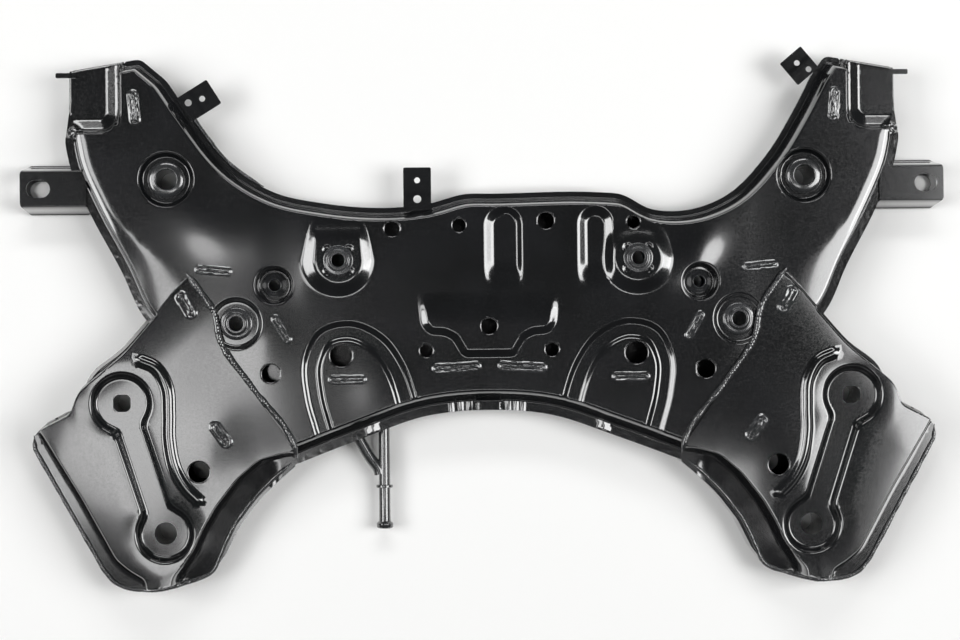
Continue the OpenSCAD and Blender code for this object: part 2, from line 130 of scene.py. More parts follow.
# Sleeves and nuts: place, then radius and height round the profile.
FITTINGS = {
    "horn_sleeve": (HORN, [
        (10.3, 2.5), (15, 2.5), (15, 55), (18.5, 55), (18.5, 56.2), (17.9, 57.6), (16.6, 58.7), (14.8, 59.4),
        (12.6, 59.8), (11, 60), (10.3, 59.5)]),
    "rack_nut": (RACK, [
        (6.5, 66), (15, 66), (15, 67.2), (14.4, 67.6), (10.9, 67.9), (10.2, 68.6), (9.9, 69.6), (9.4, 70), (6.5, 70)]),
    "well_nut": (WELL, [
        (5.9, 39.5), (11, 39.5), (11, 42), (13, 42), (13, 43), (12.4, 44.2), (11.2, 45.2), (9.6, 46), (8.2, 46.8),
        (7.3, 47.8), (6.5, 48.5), (5.9, 48.5)]),
    "arm_sleeve": (ARM, [
        (7.2, 2.5), (11.5, 2.5), (11.5, 58), (16.5, 58), (16.5, 58.9), (15.6, 59.8), (13.4, 60.3), (11.6, 60.4),
        (10.7, 60.9), (10.3, 62.2), (9.6, 63), (7.2, 63)]),
}

# Tooling holes of the upper shell: across, along, radius.
TOOL_HOLES = [(-96, 89, 7.5), (-29, 92, 6.7), (58, 96, 8.2), (146, 94, 6.5), (0, -9, 8), (-63, -33, 6.5),
              (63, -33, 6.8), (-218, -54, 9), (218, -54, 9.3), (-148, -37, 11), (148, -37, 11.3)]

# Troughs beside the rack: across, upper end along, half width at the rim.
TROUGHS = [(15, 112, 20.5), (108, 112, 19.5)]
TROUGH_FOOT, TROUGH_LENGTH = 24, 96

# Places where the sheet is swollen by the press: across, along, rise, its two reaches, turn of the first one.
SWELLS = [(-180, 84, 1.1, 14, 34, 0), (-286, 98, 1.3, 26, 18, -51), (-104, -74, 1.0, 22, 26, 0),
          (-225, -20, 0.5, 20, 20, 0), (-234, 90, 0.5, 20, 20, 0), (205, 60, 3.2, 24, 15, 52),
          (-30, 40, 0.5, 40, 40, 0), (60, 30, 0.5, 36, 36, 0)]
WING_SWELL = (-292, -118, 0.95, 30, 38, 0)

# Small raised ribs of the arch flange, and the pleats where the hanger is rooted: across from the middle.
FLANGE_RIBS = (-37, -28, -19, 20, 28, 35)
FLANGE_PLEATS = (-117, 117)

# Plug welds of the left half: across, along, length, width, turn; the last two lie on the wing plate.
PLUGS = [(-351, 212, 36, 12, 95), (-274, 49, 38, 10, -5), (-207, -10, 33, 10, -60), (-142, -61, 39, 10, 0),
         (-33, -50, 50, 11, 3), (-301, 15, 32, 14, -60), (-268, -114, 32, 14, -55)]


def ramp(t, soft=0.4):
    """A flank from 0 to 1: straight in the middle, with a quarter-round of the share soft at each end."""
    t = np.clip(t, 0, 1)
    m = 1 / (1 - soft)
    return np.where(t < soft, m * t * t / (2 * soft),
                    np.where(t > 1 - soft, 1 - m * (1 - t) ** 2 / (2 * soft), m * (t - soft / 2)))


def even(path, step, closed=False):
    """The same path at an even step: coordinates interpolated over the length run along it."""
    p = np.asarray(path, float)
    if closed:
        p = np.vstack([p, p[:1]])
    run = np.concatenate([[0], np.cumsum(np.linalg.norm(np.diff(p, axis=0), axis=1))])
    at = np.linspace(0, run[-1], max(2, int(round(run[-1] / step))) + 1)
    out = np.column_stack([np.interp(at, run, p[:, k]) for k in range(p.shape[1])])
    return out[:-1] if closed else out


def spline(points, step=STEP):
    """Smooth line through points: cubic pieces whose end slopes come from the two chords next to each point."""
    p = np.asarray(points, float)
    gap = np.linalg.norm(np.diff(p, axis=0), axis=1)[:, None]
    chord = np.diff(p, axis=0) / gap
    slope = np.vstack([chord[:1], chord[:-1] + chord[1:] - (p[2:] - p[:-2]) / (gap[:-1] + gap[1:]), chord[-1:]])
    t = np.linspace(0, 1, 16)[None, :-1, None]
    fine = (p[:-1, None] * (2 * t**3 - 3 * t**2 + 1) + (slope[:-1] * gap)[:, None] * (t**3 - 2 * t**2 + t)
            + p[1:, None] * (3 * t**2 - 2 * t**3) + (slope[1:] * gap)[:, None] * (t**3 - t**2))
    return even(np.vstack([fine.reshape(-1, p.shape[1]), p[-1:]]), step)


def flip(path):
    """The path on the other side of the car, run the other way round."""
    return np.asarray(path, float)[::-1] * (-1, 1)


def rounded(loop, reach):
    """A closed path with its corners worn off: each point becomes the mean of its neighbours within reach."""
    n = max(1, int(reach / STEP))
    return sum(np.roll(loop, k, axis=0) for k in range(-n, n + 1)) / (2 * n + 1)


def along(P, path, closed=False):
    """Distance from each point to a path, and the share of the path run at the nearest place."""
    a = path if closed else path[:-1]
    ab = (np.roll(path, -1, axis=0) if closed else path[1:]) - a
    size = (ab**2).sum(1)
    run = np.cumsum(np.sqrt(size)) - np.sqrt(size)
    total = np.sqrt(size).sum()
    distance, share = np.empty(len(P)), np.empty(len(P))
    for i in range(0, len(P), CHUNK):
        q = P[i:i + CHUNK, None] - a
        t = np.clip((q * ab).sum(2) / size, 0, 1)
        d2 = ((q - t[..., None] * ab) ** 2).sum(2)
        k = d2.argmin(1)
        row = np.arange(len(k))
        distance[i:i + CHUNK] = np.sqrt(d2[row, k])
        share[i:i + CHUNK] = (run[k] + t[row, k] * np.sqrt(size[k])) / total
    return distance, share


def within(P, loop):
    """Whether each point is inside a closed path: an odd number of its edges cross the line to the right."""
    a, b = loop, np.roll(loop, -1, axis=0)
    rise = np.where(np.abs(b[:, 1] - a[:, 1]) < 1e-9, 1e-9, b[:, 1] - a[:, 1])
    result = np.empty(len(P), bool)
    for i in range(0, len(P), CHUNK):
        x, y = P[i:i + CHUNK, 0, None], P[i:i + CHUNK, 1, None]
        crosses = (a[:, 1] > y) != (b[:, 1] > y)
        result[i:i + CHUNK] = (crosses & (x < a[:, 0] + (y - a[:, 1]) * (b[:, 0] - a[:, 0]) / rise)).sum(1) % 2 == 1
    return result


def depth_in(P, loop):
    """Distance to a closed path, positive inside."""
    return np.where(within(P, loop), 1, -1) * along(P, loop, True)[0]


def turns(n):
    """Angles of n even steps round a full turn."""
    return np.linspace(0, 2 * math.pi, n, endpoint=False)


def circle(x, y, r, step=1.8):
    """A round loop."""
    a = turns(max(16, int(2 * math.pi * r / step)))
    return np.column_stack([x + r * np.cos(a), y + r * np.sin(a)])


def beside(path, offsets, closed=False):
    """Lines beside a path: each point moved along the normal there by each offset, left of the path first."""
    p = np.asarray(path, float)
    ahead = np.roll(p, -1, axis=0) - np.roll(p, 1, axis=0) if closed else np.gradient(p, axis=0)
    normal = np.column_stack([-ahead[:, 1], ahead[:, 0]]) / np.linalg.norm(ahead, axis=1)[:, None]
    return np.vstack([p + normal * d for d in offsets])


def rings(x, y, radii, step=1.9):
    """Circles of several radii round one place."""
    return np.vstack([circle(x, y, r, step) for r in radii])


def on_both(half):
    """Points of one half of the part, then their mirror images in the other half."""
    return np.vstack([half, half * (-1, 1)])


def turning(turn):
    """The matrix that turns rows of plan points by an angle in degrees."""
    c, s = math.cos(math.radians(turn)), math.sin(math.radians(turn))
    return np.array([[c, s], [-s, c]])


def capsule(P, a, b, r):
    """Depth inside a stadium of radius r round the line from a to b."""
    return r - along(P, np.array([a, b], float))[0]


def soft_max(a, b, k):
    """The larger of two depths, joined with a fillet of about k."""
    h = np.clip(0.5 + 0.5 * (a - b) / k, 0, 1)
    return b + (a - b) * h + k * h * (1 - h)


def noise(n, cells, seed, closed=True):
    """A smooth random wave of n values about 0: random heights at even cells, joined by cubic easing."""
    heights = np.random.default_rng(seed).uniform(-1, 1, cells)
    t = np.arange(n) / n * (cells if closed else cells - 1)
    k = t.astype(int)
    f = t - k
    f = f * f * (3 - 2 * f)
    return heights[k % cells] * (1 - f) + heights[(k + 1) % cells] * f


MAIN_EDGE = rounded(even(np.vstack([spline(TOP_EDGE), HORN_TIP, spline(HORN_SIDE), spline(ARCH_EDGE),
                                    flip(spline(HORN_SIDE)), flip(HORN_TIP)]), STEP, True), 5)
COARSE_EDGE = MAIN_EDGE[::2]
HORN_LINE = spline(HORN_SIDE, 5)
WING_EDGE = rounded(even(np.vstack([spline(WING_NOTCH), WING_SHOULDER, spline(WING_TOE), spline(WING_ARCH),
                                    spline(WING_LAP)]), STEP, True), 3)
CROWN_EDGE = rounded(even(CROWN, STEP, True), 5)
LAP_LINE = spline([(-194, -139), *WING_LAP, (-302, 46)])
GROOVE_LINE = spline(ARCH_GROOVE)
BEAD_LINE = spline(WING_BEAD, 2)
NOTCH_LINE = WING_EDGE[(WING_EDGE[:, 1] > -109) & (along(WING_EDGE, spline(WING_LAP))[0] > 12)]
TOE_MOUTH = WING_EDGE[(WING_EDGE[:, 1] < -260) & (np.abs(WING_EDGE[:, 0] + 328) < 24)]
PAD_EDGE = rounded(even(np.vstack([MIDDLE_PAD, flip(MIDDLE_PAD)]), STEP, True), 4)

# Seats at the horn tips: corner of the step lines, how far outside them the sheet is cut, radius of the corner.
SEAT_CORNER = (-371, 193)
SEAT_SPLIT = 8
SEAT_ROUND = 16
# Runs of the seat's blend into the wall and of its folded edge.
SEAT_BLEND, SEAT_FOLD = 3.5, 3.2


def seat_depth(P):
    """Depth inside the seat at the horn tip: the nearer of its two step lines, rounded in the corner."""
    x, y = -np.abs(P[:, 0]), P[:, 1]
    across, upward = SEAT_CORNER[0] - x, y - SEAT_CORNER[1]
    r = SEAT_ROUND
    corner = r - np.hypot(np.maximum(r - across, 0), np.maximum(r - upward, 0))
    return np.where((across > r) & (upward > r), np.minimum(across, upward), corner)


def grain(P, cell, seed):
    """A rough surface from -1 to 1: random heights on a square lattice, joined by cubic easing both ways."""
    lattice = np.random.default_rng(seed).uniform(-1, 1, (64, 64))
    k = np.floor(P / cell).astype(int)
    f = P / cell - k
    f = f * f * (3 - 2 * f)
    i, j = k[:, 0] % 63, k[:, 1] % 63
    low = lattice[i, j] * (1 - f[:, 0]) + lattice[i + 1, j] * f[:, 0]
    high = lattice[i, j + 1] * (1 - f[:, 0]) + lattice[i + 1, j + 1] * f[:, 0]
    return low * (1 - f[:, 1]) + high * f[:, 1]


def boss_share(x, y, bx, land):
    """How far up the flank of a rack boss: from its round foot, 0, to the edge of its flat U, 1.
    A land runs from the left boss to the front edge, and both bosses fade into the shell towards that edge."""
    r = np.hypot(x - bx, y - RACK[1])
    above = np.maximum(y - RACK[1], 0)
    foot = BOSS_FOOT - np.hypot((x - bx) * 0.97, np.minimum(y - RACK[1], 0)) - 0.27 * above
    flat = np.where(land & (y > RACK[1] - 1), np.abs(x - bx), r) - BOSS_FLAT
    up = np.clip(foot / np.maximum(foot + np.maximum(flat, 0), 1e-6), 0, 1)
    return ramp(up, 0.3) * ramp(((104 if land else 98) - y) / 28, 0.5)


def swell(x, y, cx, cy, rise, reach_u, reach_v, turn):
    """A swollen place: a bell over the plan, with one reach along the turn and one across it."""
    c, s = math.cos(math.radians(turn)), math.sin(math.radians(turn))
    u, v = (x - cx) * c + (y - cy) * s, (y - cy) * c - (x - cx) * s
    return rise * np.exp(-(u / reach_u) ** 2 / 2 - (v / reach_v) ** 2 / 2)


def shell_height(P):
    """Height of the upper shell: flange, drafted wall and top, less dishes, troughs and grooves, plus pad and bosses.
    The seats are a step down with folded edges. The arch flange has ribs, and a pleat on each side."""
    s = bpy.context.scene.subframe_sizes
    x, y = P[:, 0], P[:, 1]
    half = np.column_stack([-np.abs(x), y])
    edge = depth_in(P, COARSE_EDGE)
    seat = seat_depth(P)
    top = np.full(len(P), s.shell_top / MM)
    # The horns sag outwards, more so towards the wings, and lie a little below the middle.
    side = along(half, HORN_LINE)[0]
    sag_w = 11 + 33 * ramp((112 - y) / 92, 0.5)
    top -= s.horn_sag / MM * np.clip(1 - (side - 14) / sag_w, 0, 1) ** 2 * ramp((y + 60) / 40, 0.5)
    top -= s.horn_fall / MM * ramp((np.abs(x) - 225) / 80, 0.5)
    for place in SWELLS:
        top += swell(x, y, *place)
    # Most of the step to the seats is steep, and the rest is a long slope.
    top -= s.seat_drop / MM * (0.74 * ramp((seat + 7) / 4.5, 0.4) + 0.26 * ramp((seat + 3) / 13, 0.2))
    # The arch and the horns' outer sides have a wider flange than the other edges, and the seats have none.
    arch = ramp((-40 - y) / 30, 0.5)
    outer = ramp(1.5 - (side - edge) / 12, 0.5) * (1 - arch)
    run = WALL_RUN + ARCH_RUN * arch + HORN_RUN * outer
    wall = ramp((edge - LIP - ARCH_LIP * arch - HORN_LIP * outer) / run, BEND)
    wall = np.maximum(wall, ramp((seat + SEAT_SPLIT) / SEAT_BLEND, 0.4) * ramp(edge / SEAT_FOLD, 0.35))
    low = SHELL_FLANGE + 0.05 * grain(P, 3.5, 5) * ramp((7 - edge) / 4, 0.4)
    for rx in FLANGE_RIBS:
        low += 0.9 * np.exp(-((x - rx) / 1.6) ** 2) * ramp((y + 100) / 5, 0.4) * arch
    for px in FLANGE_PLEATS:
        low += 2.6 * ramp(1 - np.abs(x - px) / 7, 0.12) * ramp((edge - 0.5) / 2, 0.4) * arch
    z = low + (top - low) * wall
    for (bx, by), r, run, depth in DISHES:
        z -= depth * ramp((r - np.hypot(np.abs(x) - bx, y - by)) / run, BEND)
    for tx, end, half_w in TROUGHS:
        inside = capsule(P, (tx, -20), (tx, end - half_w), half_w)
        # The left trough is steeper on its right side.
        flank = 12.5 - 4.5 * ramp((x - tx) / 10 + 0.5, 0.5) * (tx < 60)
        z -= s.trough_depth / MM * ramp(inside / flank, 0.3) * ramp((y - TROUGH_FOOT) / 34, 0.5)
    gap, share = along(half, GROOVE_LINE)
    z -= s.groove_depth / MM * ramp((10.5 + 1.5 * share - gap) / 7, 0.35) * wall
    pad = depth_in(P, PAD_EDGE)
    z += s.pad_rise / MM * ramp((pad + 5) / 9.5, 0.35) * ramp((27 - y) / 34, 0.5)
    z += s.boss_rise / MM * np.where(x < 0, boss_share(x, y, -RACK[0], True), boss_share(x, y, RACK[0], False))
    # Four weld prints round each rack nut, and the rolled rims of the tooling holes.
    print_gap = np.hypot(np.abs(np.abs(x) - RACK[0]) - 11, np.abs(y - RACK[1]) - 11)
    z -= 0.8 * ramp((5 - print_gap) / 3, 0.45)
    for hx, hy, r in TOOL_HOLES:
        z -= ROLL_DROP * ramp((r + ROLL_RUN - np.hypot(x - hx, y - hy)) / ROLL_RUN, 0.5)
    return z


def wing_height(P):
    """Height of the left wing plate: flange, wall and raised middle, less the joined pads, plus the bead.
    Along the notch and at the toe a steep wall goes down to the shell, or to the pan where there is no shell."""
    s = bpy.context.scene.subframe_sizes
    x, y = P[:, 0], P[:, 1]
    edge = depth_in(P, CROWN_EDGE)
    notch = along(P, NOTCH_LINE)[0]
    arch = ramp((x + 325) / 35, 0.5) * ramp((-110 - y) / 40, 0.5)
    wall = 10 - 4 * arch
    top = s.wing_top / MM - 0.9 * np.clip(1 - edge / 60, 0, 1) ** 2 - 1.2 * np.clip(1 - notch / 45, 0, 1) ** 2
    top += swell(x, y, *WING_SWELL)
    low = WING_FLANGE - (0.015 + 0.13 * arch * ramp((-210 - x) / 15, 0.5)) * np.maximum(-edge - wall, 0)
    z = low + (top - low) * ramp((edge + wall) / wall, 0.4 - 0.18 * arch)
    front = FRONT_PAD - np.hypot(x - FRONT[0], y - FRONT[1])
    rear = REAR_PAD - np.hypot(x - REAR[0], y - REAR[1])
    joint = capsule(P, FRONT, REAR, PAD_JOINT)
    recess = soft_max(soft_max(front, rear, 4), joint, 7)
    z -= s.pad_depth / MM * ramp(recess / PAD_RUN, 0.38) + 0.5 * np.clip(1 + recess / 16, 0, 1) ** 2
    z += s.bead_rise / MM * ramp((7.5 - along(P, BEAD_LINE)[0]) / 7, 0.5)
    hx, hy, r = WING_HOLE
    z -= ROLL_DROP * ramp((r + ROLL_RUN - np.hypot(x - hx, y - hy)) / ROLL_RUN, 0.5)
    near = notch < END_RUN
    inside = depth_in(P[near], COARSE_EDGE) - (LIP + HORN_LIP)
    under = np.full(len(P), WING_FLANGE)
    under[near] += (s.shell_top / MM - WING_FLANGE) * ramp(inside / (WALL_RUN + HORN_RUN), BEND)
    z = under + (z - under) * ramp(notch / END_RUN, END_BEND)
    return WING_FLANGE + (z - WING_FLANGE) * ramp(along(P, TOE_MOUTH)[0] / END_RUN, END_BEND)


def slope_normals(height, P):
    """Heights over the plan and their unit normals, from the change over a small step each way."""
    e = 0.15
    here = height(P)
    n = np.column_stack([here - height(P + (e, 0)), here - height(P + (0, e)), np.full(len(P), e)])
    return here, n / np.linalg.norm(n, axis=1)[:, None]


def thinned(points, cell):
    """The first point in each square cell of the plan."""
    first = np.unique(np.floor(points / cell).astype(int), axis=0, return_index=True)[1]
    return points[np.sort(first)]


def plan_mesh(edge, holes, rows, spacing, nearest):
    """Points and triangles of a plan: edge and hole loops, rows along the features, a grid between them."""
    loops = [np.asarray(edge), *holes]
    inner = thinned(np.vstack(rows), nearest)
    lo, hi = edge.min(0), edge.max(0)
    gx, gy = np.meshgrid(np.arange(lo[0], hi[0], spacing), np.arange(lo[1], hi[1], spacing * 0.866))
    gx[1::2] += spacing / 2
    grid = np.column_stack([gx.ravel(), gy.ravel()])
    cell = spacing / 3.2
    size = ((hi - lo) / cell).astype(int) + 8
    taken = np.zeros(size, bool)
    marks = ((np.vstack([*loops, inner]) - lo) / cell).astype(int) + 3
    marks = marks[((marks > 1) & (marks < size - 2)).all(1)]
    taken[marks[:, 0], marks[:, 1]] = True
    wide = np.any([np.roll(taken, (i, j), (0, 1)) for i in (-1, 0, 1) for j in (-1, 0, 1)], axis=0)
    at = np.clip(((grid - lo) / cell).astype(int) + 3, 0, size - 1)
    inner = np.vstack([inner, grid[~wide[at[:, 0], at[:, 1]]]])
    inner = inner[within(inner, loops[0]) & (along(inner, loops[0], True)[0] > 0.7)]
    for hole in holes:
        middle, reach = hole.mean(0), np.ptp(hole, axis=0).max() / 2 + 2
        near = np.where(np.abs(inner - middle).max(1) < reach)[0]
        bad = within(inner[near], hole) | (along(inner[near], hole, True)[0] < 0.5)
        inner = np.delete(inner, near[bad], axis=0)
    rim, start = [], 0
    for loop in loops:
        ring = start + np.arange(len(loop))
        rim += np.column_stack([ring, np.roll(ring, -1)]).tolist()
        start += len(loop)
    made, _, tris, *_ = delaunay_2d_cdt(np.vstack([*loops, inner]).tolist(), rim, [], 0, 1e-6)
    P, tris = np.array(made), np.array(tris)
    centre = P[tris].mean(1)
    inside = within(centre, loops[0])
    for hole in holes:
        inside &= ~within(centre, hole)
    tris = tris[inside]
    a, b, c = (P[tris[:, k]] for k in range(3))
    down = (b[:, 0] - a[:, 0]) * (c[:, 1] - a[:, 1]) < (b[:, 1] - a[:, 1]) * (c[:, 0] - a[:, 0])
    tris[down] = tris[down][:, ::-1]
    used, back = np.unique(tris, return_inverse=True)
    return P[used], back.reshape(-1, 3)


def sheet(height, edge, holes, rows, thickness, spacing=5.0, nearest=0.8):
    """A pressing with its thickness: the height over the plan, the same moved along the normals, and the cut edges."""
    P, tris = plan_mesh(edge, holes, rows, spacing, nearest)
    here, normal = slope_normals(height, P)
    top = np.column_stack([P, here])
    n = len(P)
    sides = np.vstack([tris[:, (0, 1)], tris[:, (1, 2)], tris[:, (2, 0)]])
    key = np.sort(sides, axis=1)
    _, first, count = np.unique(key, axis=0, return_index=True, return_counts=True)
    a, b = sides[first[count == 1]].T
    out = np.column_stack([P[b, 1] - P[a, 1], P[a, 0] - P[b, 0], np.zeros(len(a))])
    out /= np.linalg.norm(out, axis=1)[:, None]
    quads = np.column_stack([a, a + n, b + n, b])
    faces = tris.tolist() + (tris[:, ::-1] + n).tolist() + quads.tolist()
    loops = np.vstack([normal[tris].reshape(-1, 3), -normal[tris[:, ::-1]].reshape(-1, 3), np.repeat(out, 4, axis=0)])
    return np.vstack([top, top - thickness * normal]), faces, loops


def mirrored(form):
    """The same form on the other side of the car, with its faces turned so that they still point out."""
    points, faces, loops = form
    if loops is not None:
        sizes = [len(f) for f in faces]
        start = np.concatenate([[0], np.cumsum(sizes)])
        order = np.repeat(start[:-1] + start[1:] - 1, sizes) - np.arange(start[-1])
        loops = loops[order] * (-1, 1, 1)
    return points * (-1, 1, 1), [f[::-1] for f in faces], loops


def grid_form(G, closed=True):
    """A surface from rings of points: each cell is one four-sided face, and closed joins the last ring to the first."""
    nu, nv = G.shape[:2]
    u, v = np.meshgrid(np.arange(nu if closed else nu - 1), np.arange(nv), indexing="ij")
    u2, v2 = (u + 1) % nu, (v + 1) % nv
    quads = np.stack([u * nv + v, u2 * nv + v, u2 * nv + v2, u * nv + v2], axis=-1).reshape(-1, 4)
    return G.reshape(-1, 3), quads.tolist(), None


def capped(G, ends=2, inside_out=False):
    """A tube from rings of points, with a flat face over its first ring and, with two ends, over its last."""
    points, faces, _ = grid_form(G, False)
    n, m = len(points), G.shape[1]
    faces += [list(range(m)), list(range(n - m, n))[::-1]][:ends]
    return points, [f[::-1] for f in faces] if inside_out else faces, None


def turned(profile, x, y, segments=72):
    """A closed profile of radius and height turned round an upright axis."""
    r, z = np.asarray(profile, float).T
    a = turns(segments)[:, None]
    return grid_form(np.stack([x + r * np.cos(a), y + r * np.sin(a), np.broadcast_to(z, (segments, len(z)))], axis=-1))


def eased(profile, r=0.6):
    """A closed profile with each corner cut back by r along both its sides, and held flat up to the cut."""
    p = np.asarray(profile, float)
    to = np.roll(p, -1, axis=0) - p
    size = np.linalg.norm(to, axis=1)[:, None]
    on = to / size * np.minimum(r, size * 0.35)
    back = np.roll(on, 1, axis=0)
    middle = (p - back + (p + on)) / 4 + p / 2
    return np.stack([p - 1.25 * back, p - back, middle, p + on, p + 1.25 * on], axis=1).reshape(-1, 2)


def swept(path, ring, radius):
    """A closed ring carried along a path in space: the ring stands square to the path, scaled by radius there."""
    p = np.asarray(path, float)
    ahead = np.gradient(p, axis=0)
    ahead /= np.linalg.norm(ahead, axis=1)[:, None]
    side = np.cross(ahead, (0, 0, 1))
    side /= np.linalg.norm(side, axis=1)[:, None]
    up = np.cross(side, ahead)
    r = np.broadcast_to(radius, (len(p), len(ring)))[..., None]
    return capped(p[:, None] + r * (side[:, None] * ring[None, :, :1] + up[:, None] * ring[None, :, 1:]))


def ring_of(n):
    """A round ring of radius 1, clockwise seen along the path."""
    a = turns(n)
    return np.column_stack([np.cos(a), -np.sin(a)])


def joined(forms):
    """Several forms as one, with their point numbers moved on. Loop normals are dropped unless all have them."""
    points, faces, loops, start = [], [], [], 0
    for p, f, n in forms:
        points.append(p)
        faces += [[i + start for i in face] for face in f]
        loops.append(n)
        start += len(p)
    return np.vstack(points), faces, None if any(n is None for n in loops) else np.vstack(loops)


def piece(name, form, slot, *nodes):
    """Makes one piece of the object from a form, rides it on the frame and hides the CAD nodes it stands for."""
    points, faces, loops = form
    mesh = bpy.data.meshes.new(name)
    mesh.from_pydata((points * MM).tolist(), [], faces)
    mesh.polygons.foreach_set("use_smooth", np.ones(len(faces), bool))
    if loops is None:
        mesh.set_sharp_from_angle(angle=math.radians(40))
    else:
        mesh.normals_split_custom_set(loops.tolist())
    mesh.materials.append(finish(slot))
    mesh.update()
    obj = bpy.data.objects.new(name, mesh)
    bpy.context.scene.collection.objects.link(obj)
    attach(obj, BODY)
    if nodes:
        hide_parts(*nodes)


def pair(name, left, slot, *nodes):
    """Makes a left piece and its mirror image on the right. The CAD nodes are named without their side."""
    for side, form in (("left", left), ("right", mirrored(left))):
        piece(name + "_" + side, form, slot, *(side + "_" + n for n in nodes))


def standing(axes, place):
    """The matrix of an object at a place, with its axes as columns."""
    return Matrix(np.vstack([np.column_stack([axes, place]), [0, 0, 0, 1]]).tolist())


def linear(colour):
    """An sRGB hex colour as linear red, green, blue and alpha."""
    c = np.array([int(colour[i:i + 2], 16) for i in (1, 3, 5)]) / 255
    return (*np.where(c <= 0.04045, c / 12.92, ((c + 0.055) / 1.055) ** 2.4), 1.0)


def node(tree, kind, inputs=None):
    """Adds a shader node; an input that is a socket is linked, any other is set."""
    made = tree.nodes.new(kind)
    for key, value in (inputs or {}).items():
        if isinstance(value, bpy.types.NodeSocket):
            tree.links.new(value, made.inputs[key])
        else:
            made.inputs[key].default_value = value
    return made


def empty_tree(owner):
    """The cleared node tree of a material or a world."""
    owner.use_nodes = True
    owner.node_tree.nodes.clear()
    return owner.node_tree


def blend(tree, value, *stops):
    """A colour that follows a value between two stops, each a place and a colour."""
    made = node(tree, "ShaderNodeValToRGB", {"Fac": value})
    for element, (place, colour) in zip(made.color_ramp.elements, stops):
        element.position, element.color = place, colour
    return made.outputs["Color"]


# Finishes by slot: name of the paint, its dark and light colours, roughness, then size and lift of its peel in mm.
FINISHES = {
    # On sheet: even and glossy.
    "dip_paint": ("black_dip_paint", "paint", "bloom", 0.15, 1.6, 0.003),
    # On turned steel: thinner, and duller over the tool marks.
    "painted_fittings": ("dip_paint_on_turned_steel", "fitting", "worn", 0.24, 1.2, 0.005),
    # On welds: thin on the ripples, with a coarser skin.
    "painted_welds": ("dip_paint_on_weld_bead", "weld", "worn", 0.19, 1.4, 0.012),
}
BLOOM_MM = 60


def finish(slot):
    """Black dip paint on steel: thin and even, so the sheet's own grain and dust in the bath show as fine peel.
    It gives the eye near-black flats, sharp bright lines on every bend and a slightly grey bloom."""
    name, dark, light, rough, peel_mm, peel_lift = FINISHES[slot]
    made = bpy.data.materials.get(name)
    if made:
        return made
    made = bpy.data.materials.new(name)
    tree = empty_tree(made)
    colours = bpy.context.scene.subframe_colours
    place = node(tree, "ShaderNodeTexCoord").outputs["Object"]
    bloom = node(tree, "ShaderNodeTexNoise", {"Vector": place, "Scale": 1 / (BLOOM_MM * MM), "Detail": 4.0})
    peel = node(tree, "ShaderNodeTexNoise", {"Vector": place, "Scale": 1 / (peel_mm * MM), "Detail": 3.0})
    tone = blend(tree, bloom.outputs["Fac"], (0.35, linear(getattr(colours, dark))),
                 (0.7, linear(getattr(colours, light))))
    worn = node(tree, "ShaderNodeMapRange", {"Value": peel.outputs["Fac"], "From Min": 0.3, "From Max": 0.7,
                                             "To Min": rough - 0.05, "To Max": rough + 0.07})
    bump = node(tree, "ShaderNodeBump", {"Height": peel.outputs["Fac"], "Strength": 1.0, "Distance": peel_lift * MM})
    paint = node(tree, "ShaderNodeBsdfPrincipled", {
        "Base Color": tone, "Roughness": worn.outputs["Result"], "Normal": bump.outputs["Normal"],
        "IOR": 1.6, "Coat Weight": 1.0, "Coat Roughness": 0.08, "Coat IOR": 1.6})
    node(tree, "ShaderNodeOutputMaterial", {"Surface": paint.outputs["BSDF"]})
    return made


def seat_split(loop):
    """Cuts a main edge at both horn seats: the edge without them, and the loop of the left seat."""
    inside = (seat_depth(loop) > -SEAT_SPLIT) & (loop[:, 1] > 150)
    left = np.where(inside & (loop[:, 0] < 0))[0]
    right = np.where(inside & (loop[:, 0] > 0))[0]
    if len(left) < 8 or len(right) < 8:
        raise RuntimeError("the horn seats don't cross the main edge")
    x, y = SEAT_CORNER[0] + SEAT_SPLIT, SEAT_CORNER[1] - SEAT_SPLIT
    r = SEAT_ROUND
    turn = np.radians(np.linspace(0, 90, 12))
    corner = np.column_stack([x - r + r * np.cos(turn), y + r - r * np.sin(turn)])
    path = even(np.vstack([[x, loop[left[0], 1] - 1.5], corner, [loop[left[-1], 0] + 1.5, y]]), STEP)
    first, last = sorted([(left[0], left[-1], path), (right[0], right[-1], flip(path))], key=lambda c: c[0])
    shell = np.vstack([loop[:first[0]], first[2], loop[first[1] + 1:last[0]], last[2], loop[last[1] + 1:]])
    seat = np.vstack([loop[left], path[::-1]])
    # The outer lower corner of the seat is drawn in, to a slanted edge.
    over = np.maximum(0, 24 - (seat[:, 0] + 421) - (seat[:, 1] - y) * 0.8)
    return shell, seat + np.column_stack([over * 0.6, np.zeros(len(seat))])


def capsule_loop(x, y, length, width, turn, step=1.6):
    """A stadium outline: two straight sides joined by half circles, turned about its middle."""
    a = np.linspace(-90, 90, 14)
    end = np.column_stack([np.cos(np.radians(a)), np.sin(np.radians(a))]) * width / 2 + ((length - width) / 2, 0)
    return even(np.vstack([end, -end]), step, True) @ turning(turn) + (x, y)


def size_in_mm(name, description, mm):
    """A length that a user would change."""
    return bpy.props.FloatProperty(name=name, description=description, default=mm * MM, subtype="DISTANCE")


def hex_colour(name, description, code):
    """A colour that a user would change."""
    return bpy.props.StringProperty(name=name, description=description, default=code)


